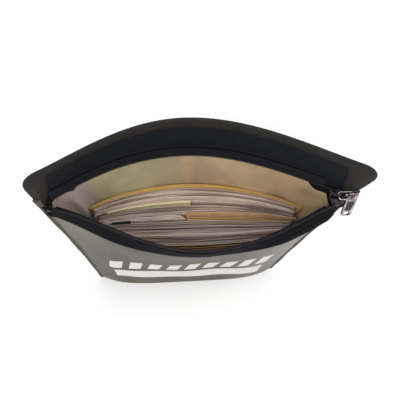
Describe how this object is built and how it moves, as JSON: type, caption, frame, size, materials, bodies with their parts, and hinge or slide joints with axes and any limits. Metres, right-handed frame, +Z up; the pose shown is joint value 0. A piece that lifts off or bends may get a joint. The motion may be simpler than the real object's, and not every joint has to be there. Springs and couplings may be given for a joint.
{
  "type": "cash deposit bag",
  "caption": "Stand-up film pouch with black webbing bands, an open zip mouth with a slider and pull tab, and envelopes and papers inside.",
  "frame": {"origin": "on the underside of the base, midway between its two corners", "axes": "+X along the zip towards its open end, +Y from the front panel to the back panel, +Z up"},
  "size_m": [0.2841, 0.1023, 0.283],
  "materials": {
    "smoke_film": "satin smoke-grey film",
    "lining_film": "satin tan film",
    "base_film": "satin dark film",
    "seam_binding": "woven tape",
    "front_print": "matt white ink",
    "webbing": "ribbed black webbing",
    "rim_tape": "smooth folded tape",
    "zip_tape": "black zip tape",
    "zip_coil": "black nylon coil",
    "thread": "black thread",
    "zip_metal": "bright nickel",
    "slider_metal": "gunmetal",
    "pull_metal": "dark nickel",
    "pull_insert": "matt black enamel",
    "manila": "manila paper",
    "white_paper": "printed office paper",
    "slip_paper": "pale yellow paper",
    "clip_black": "matt black"
  },
  "bodies": {
    "bag": {"base_panel": "base_film", "front_panel": "smoke_film", "back_panel": "lining_film", "side_binding_left": "seam_binding", "side_binding_right": "seam_binding", "write_on_strip": "front_print", "printed_bars": "front_print", "bar_tacks": "thread", "zip_bottom_stop": "zip_metal", "zip_top_stops": "zip_metal"},
    "front_lip": {"front_band": "webbing", "zip_tape_front": "zip_tape", "zip_coil_front": "zip_coil"},
    "back_lip": {"header_band": "webbing", "rim_binding": "rim_tape", "zip_tape_back": "zip_tape", "zip_coil_back": "zip_coil"},
    "slider": {"slider_body": "slider_metal", "slider_bridge": "slider_metal"},
    "ring": {"pull_ring": "pull_metal"},
    "tab": {"pull_tab": "pull_metal", "tab_insert": "pull_insert"},
    "contents": {"back_envelope": "manila", "back_envelope_flap": "manila", "paper_stack_back": "white_paper", "deposit_slip": "slip_paper", "paper_stack_middle": "white_paper", "middle_envelope": "manila", "money_clip": "clip_black", "paper_stack_front": "white_paper", "folded_sheet": "white_paper", "front_envelope": "manila"}
  },
  "joints": [
    {"name": "slider_travel", "type": "slide", "parent": "bag", "child": "slider", "axis": [1, 0, 0], "range_m": [-0.232, 0]},
    {"name": "front_lip_close", "type": "slide", "parent": "bag", "child": "front_lip", "axis": [0, 0.9884, 0.1521], "range_m": [0, 0.0395], "deforming": ["front_panel", "front_band", "zip_tape_front", "zip_coil_front"]},
    {"name": "back_lip_close", "type": "slide", "parent": "bag", "child": "back_lip", "axis": [0, -0.9976, 0.0688], "range_m": [0, 0.0437], "deforming": ["back_panel", "header_band", "rim_binding", "zip_tape_back", "zip_coil_back"]},
    {"name": "ring_swing", "type": "hinge", "parent": "slider", "child": "ring", "pos_m": [0.117, 0.01947, 0.25225], "axis": [0, -1, 0], "range_deg": [0, 175]},
    {"name": "tab_swing", "type": "hinge", "parent": "ring", "child": "tab", "pos_m": [0.13, 0.01947, 0.25225], "axis": [0, -1, 0], "range_deg": [0, 60]},
    {"name": "contents_lift", "type": "slide", "parent": "bag", "child": "contents", "axis": [0, 0.0942, 0.9956], "range_m": [0, 0.19]}
  ],
  "couplings": [
    {"joint": "front_lip_close", "follows": "slider_travel", "ratio": -0.1695},
    {"joint": "back_lip_close", "follows": "slider_travel", "ratio": -0.1875}
  ]
}
